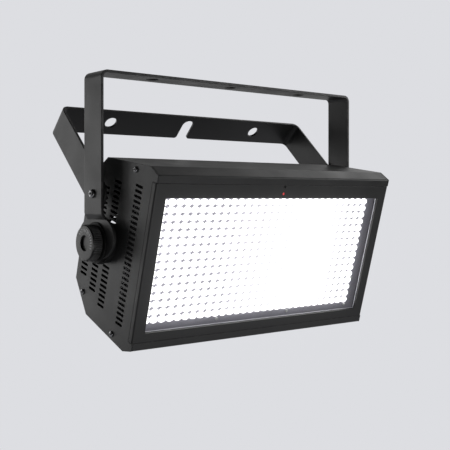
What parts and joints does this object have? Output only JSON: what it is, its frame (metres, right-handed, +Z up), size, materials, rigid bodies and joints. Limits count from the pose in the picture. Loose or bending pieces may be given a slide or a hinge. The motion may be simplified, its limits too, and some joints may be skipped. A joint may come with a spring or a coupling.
{
  "type": "led blinder light",
  "caption": "Flat rectangular LED flood head that tilts on side knobs between a hanging yoke and a folding rear yoke.",
  "frame": {"origin": "centre of the middle clamp hole, at the upper face of the hanging yoke's bar", "axes": "+Z up, out of the bar's upper face; -Y the way the light faces before it is tilted down; +X to the right of someone who looks along +Y, and along the tilt axis"},
  "size_m": [0.3968, 0.2004, 0.2933],
  "materials": {
    "black_paint": "fine satin black powder coat",
    "zinc_steel": "bright zinc plate",
    "grey_plastic": "moulded grey",
    "rubber": "matt black",
    "window_glass": "clear, polished",
    "dark_lens": "dark tinted, polished",
    "red_lens": "clear red",
    "circuit_board": "green solder mask",
    "led_board": "pale emitters on a dark grey solder mask",
    "raw_aluminium": "mill finish",
    "black_plastic": "moulded black, fine grain"
  },
  "bodies": {
    "front_yoke": {"front_yoke": "black_paint", "pivot_screw_left": "zinc_steel", "pivot_screw_right": "zinc_steel", "pivot_nut_left": "zinc_steel", "pivot_nut_right": "zinc_steel", "spacer_washer_left": "grey_plastic", "spacer_washer_right": "grey_plastic"},
    "head": {"control_board": "circuit_board", "data_inlet": "black_plastic", "data_outlet": "black_plastic", "deck_plate": "raw_aluminium", "display_lens": "dark_lens", "display_module": "black_plastic", "driver_board": "circuit_board", "fan_frame_left": "black_plastic", "fan_frame_right": "black_plastic", "friction_washer_left": "rubber", "friction_washer_right": "rubber", "front_bezel": "black_paint", "fuse_holder": "black_plastic", "heatsink": "raw_aluminium", "housing_shell": "black_paint", "indicator_lens": "red_lens", "ir_sensor_window": "dark_lens", "led_board": "led_board", "panel_screw_left_front_low": "zinc_steel", "panel_screw_left_front_top": "zinc_steel", "panel_screw_left_rear_low": "zinc_steel", "panel_screw_left_rear_top": "zinc_steel", "panel_screw_right_front_low": "zinc_steel", "panel_screw_right_front_top": "zinc_steel", "panel_screw_right_rear_low": "zinc_steel", "panel_screw_right_rear_top": "zinc_steel", "power_inlet": "black_plastic", "power_outlet": "black_plastic", "power_supply": "zinc_steel", "rear_plate": "black_paint", "safety_eye": "zinc_steel", "sensor_board": "circuit_board", "side_panel_left": "black_paint", "side_panel_right": "black_paint", "tilt_hub_left": "zinc_steel", "tilt_hub_right": "zinc_steel", "window": "window_glass", "window_gasket": "rubber", "window_retainer": "black_paint"},
    "rear_yoke": {"rear_yoke": "black_paint"},
    "washer_left": {"knob_washer_left": "zinc_steel"},
    "washer_right": {"knob_washer_right": "zinc_steel"},
    "knob_left": {"tilt_knob_left": "black_plastic"},
    "knob_right": {"tilt_knob_right": "black_plastic"},
    "fan_rotor_left": {"fan_rotor_left": "black_plastic"},
    "fan_rotor_right": {"fan_rotor_right": "black_plastic"},
    "button_menu": {"button_menu": "grey_plastic"},
    "button_down": {"button_down": "grey_plastic"},
    "button_up": {"button_up": "grey_plastic"},
    "button_enter": {"button_enter": "grey_plastic"},
    "fuse_cap": {"fuse_cap": "black_plastic"},
    "data_latch": {"data_latch": "grey_plastic"}
  },
  "joints": [
    {"name": "head_tilt", "type": "hinge", "parent": "front_yoke", "child": "head", "pos_m": [0, 0, -0.1818], "axis": [1, 0, 0], "range_deg": [-105.3, 74.7]},
    {"name": "rear_yoke_fold", "type": "hinge", "parent": "front_yoke", "child": "rear_yoke", "pos_m": [0, 0, -0.1298], "axis": [1, 0, 0], "range_deg": [-44, 46]},
    {"name": "washer_left_slide", "type": "slide", "parent": "head", "child": "washer_left", "axis": [-1, 0, 0], "range_m": [0, 0.00124]},
    {"name": "knob_left_turn", "type": "hinge", "parent": "washer_left", "child": "knob_left", "pos_m": [-0.19, 0, -0.1818], "axis": [-1, 0, 0], "range_deg": [0, 360]},
    {"name": "washer_right_slide", "type": "slide", "parent": "head", "child": "washer_right", "axis": [1, 0, 0], "range_m": [0, 0.00124]},
    {"name": "knob_right_turn", "type": "hinge", "parent": "washer_right", "child": "knob_right", "pos_m": [0.19, 0, -0.1818], "axis": [1, 0, 0], "range_deg": [0, 360]},
    {"name": "fan_left_spin", "type": "hinge", "parent": "head", "child": "fan_rotor_left", "pos_m": [-0.12, 0.04398, -0.16977], "axis": [0, 0.9646, 0.2639], "continuous": true},
    {"name": "fan_right_spin", "type": "hinge", "parent": "head", "child": "fan_rotor_right", "pos_m": [0.12, 0.04398, -0.16977], "axis": [0, 0.9646, 0.2639], "continuous": true},
    {"name": "button_menu_press", "type": "slide", "parent": "head", "child": "button_menu", "axis": [0, -0.9646, -0.2639], "range_m": [0, 0.0008], "stiffness_N_per_m": 300, "springref_m": -0.002},
    {"name": "button_down_press", "type": "slide", "parent": "head", "child": "button_down", "axis": [0, -0.9646, -0.2639], "range_m": [0, 0.0008], "stiffness_N_per_m": 300, "springref_m": -0.002},
    {"name": "button_up_press", "type": "slide", "parent": "head", "child": "button_up", "axis": [0, -0.9646, -0.2639], "range_m": [0, 0.0008], "stiffness_N_per_m": 300, "springref_m": -0.002},
    {"name": "button_enter_press", "type": "slide", "parent": "head", "child": "button_enter", "axis": [0, -0.9646, -0.2639], "range_m": [0, 0.0008], "stiffness_N_per_m": 300, "springref_m": -0.002},
    {"name": "fuse_cap_turn", "type": "hinge", "parent": "head", "child": "fuse_cap", "pos_m": [0.05, 0.0471, -0.14818], "axis": [0, 0.9646, 0.2639], "range_deg": [0, 90]},
    {"name": "data_latch_press", "type": "slide", "parent": "head", "child": "data_latch", "axis": [0, -0.9646, -0.2639], "range_m": [0, 0.0012], "stiffness_N_per_m": 200, "springref_m": -0.002}
  ],
  "couplings": [
    {"joint": "knob_left_turn", "follows": "washer_left_slide", "rad_per_m": 5026.5},
    {"joint": "knob_right_turn", "follows": "washer_right_slide", "rad_per_m": 5026.5}
  ]
}
